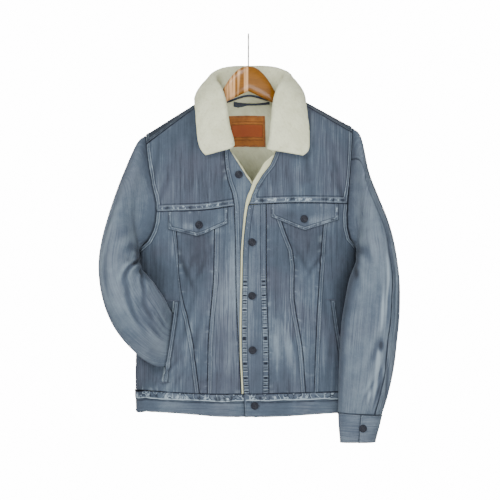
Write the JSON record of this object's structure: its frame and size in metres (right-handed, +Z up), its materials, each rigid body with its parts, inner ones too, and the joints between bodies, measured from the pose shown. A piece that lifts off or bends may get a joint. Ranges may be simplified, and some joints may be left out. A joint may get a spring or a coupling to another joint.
{
  "type": "sherpa lined jacket on a hanger",
  "caption": "Denim trucker jacket with a sherpa collar and lining, hung on a varnished wooden hanger, one sleeve's end tucked into the side pocket.",
  "frame": {"origin": "inner top of the hanger's hook, where a rail bears", "axes": "+Z up, -Y the jacket's front, +X to the right when facing the front"},
  "size_m": [0.6585, 0.2352, 0.8998],
  "materials": {
    "denim": "faded blue-grey denim",
    "denim_bands": "faded denim in more layers",
    "sherpa": "cream curled pile",
    "leather": "tan brown, plain",
    "loop_cloth": "dark twill tape",
    "varnished_wood": "gloss varnish",
    "steel": "bright wire",
    "button_metal": "dark blue-grey metal"
  },
  "bodies": {
    "root": {"back_centre": "denim", "back_side_left": "denim", "back_side_right": "denim", "back_yoke": "denim", "button_cuff_right": "button_metal", "button_flap_left": "button_metal", "button_flap_right": "button_metal", "button_front_2": "button_metal", "button_front_3": "button_metal", "button_front_4": "button_metal", "button_front_top": "button_metal", "button_waist": "button_metal", "collar": "sherpa", "cuff_left": "denim_bands", "cuff_right": "denim_bands", "flap_left": "denim_bands", "flap_right": "denim_bands", "front_centre_left": "denim", "front_centre_right": "denim", "front_pocket_left": "denim", "front_pocket_right": "denim", "front_side_left": "denim", "front_side_right": "denim", "front_yoke_left": "denim", "front_yoke_right": "denim", "hanger_hook": "steel", "hanger_wood": "varnished_wood", "hanging_loop": "loop_cloth", "lining_back": "sherpa", "lining_front_left": "sherpa", "lining_front_right": "sherpa", "neck_patch": "leather", "placket_left": "denim_bands", "placket_right": "denim_bands", "sleeve_top_left": "denim", "sleeve_top_right": "denim", "sleeve_under_left": "denim", "sleeve_under_right": "denim", "waistband_back": "denim_bands", "waistband_left": "denim_bands", "waistband_right": "denim_bands", "welt_left": "denim_bands", "welt_right": "denim_bands"}
  },
  "joints": []
}
